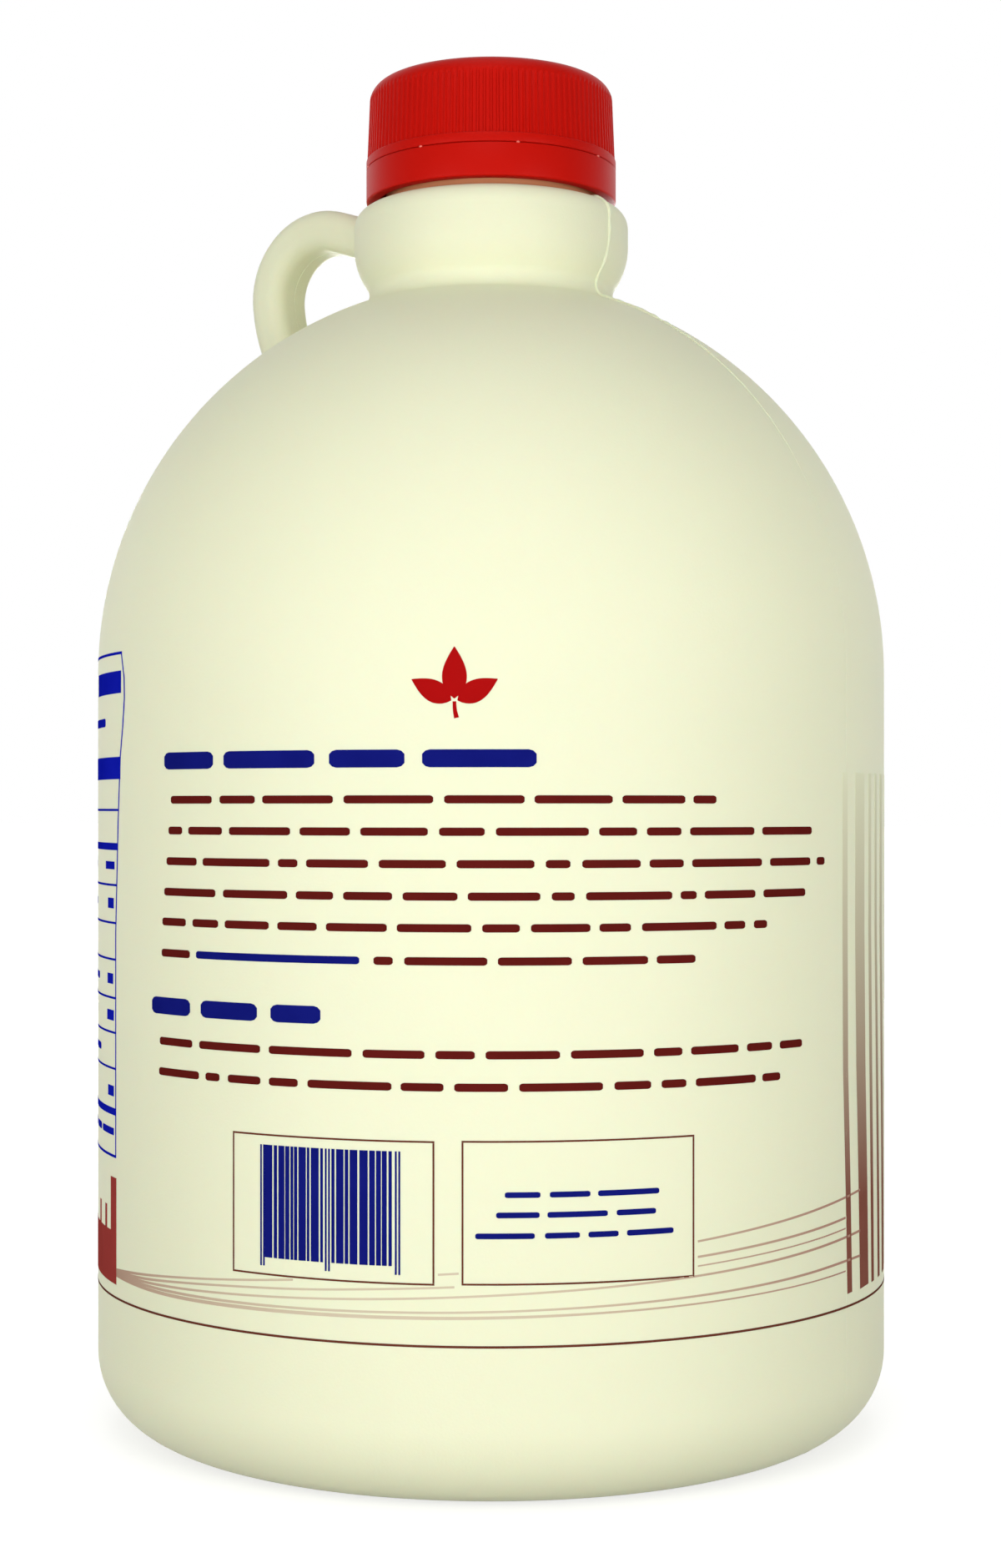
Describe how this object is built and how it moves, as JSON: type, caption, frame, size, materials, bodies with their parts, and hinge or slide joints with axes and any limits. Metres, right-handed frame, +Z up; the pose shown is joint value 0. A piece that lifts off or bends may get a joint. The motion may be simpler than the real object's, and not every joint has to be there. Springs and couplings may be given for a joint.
{
  "type": "maple syrup jug",
  "caption": "Round blow-moulded syrup jug with a domed shoulder, a small strap handle at the neck and a ribbed screw cap with a tear-off tamper ring.",
  "frame": {"origin": "middle of the base, on the plane that the jug stands on", "axes": "+Z up through the neck and cap, handle towards -X in the mould's parting plane Y = 0"},
  "size_m": [0.127, 0.127, 0.217],
  "materials": {
    "jug_plastic": "cream polyethylene, smooth satin, moulded",
    "cap_plastic": "red polypropylene, moulded, soft gloss",
    "ink_blue": "dark blue screen ink",
    "ink_red": "dark red screen ink"
  },
  "bodies": {
    "root": {"jug": "jug_plastic", "cap": "cap_plastic", "tamper_band": "cap_plastic"}
  },
  "joints": []
}
